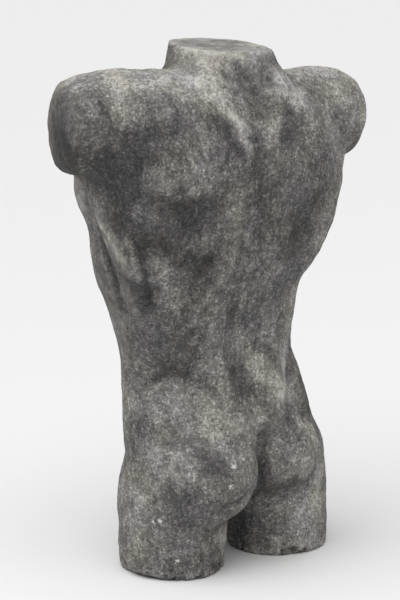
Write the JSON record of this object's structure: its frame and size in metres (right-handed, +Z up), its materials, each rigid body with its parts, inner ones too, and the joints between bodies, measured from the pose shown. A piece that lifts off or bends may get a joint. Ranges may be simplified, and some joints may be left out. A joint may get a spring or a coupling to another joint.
{
  "type": "torso statue",
  "caption": "Life-like male torso statue in dark cast stone, with the neck, arms and thighs cut off short, standing on its flat thigh cuts.",
  "frame": {"origin": "on the floor, under the middle of the bounding box", "axes": "+Z up, the chest faces -Y and the back faces +Y, and the figure's left side is +X"},
  "size_m": [0.5032, 0.2494, 0.7727],
  "materials": {
    "cast_stone": "rough weathered cast stone, dark patina rubbed lighter on the high places"
  },
  "bodies": {
    "root": {"torso": "cast_stone"}
  },
  "joints": []
}
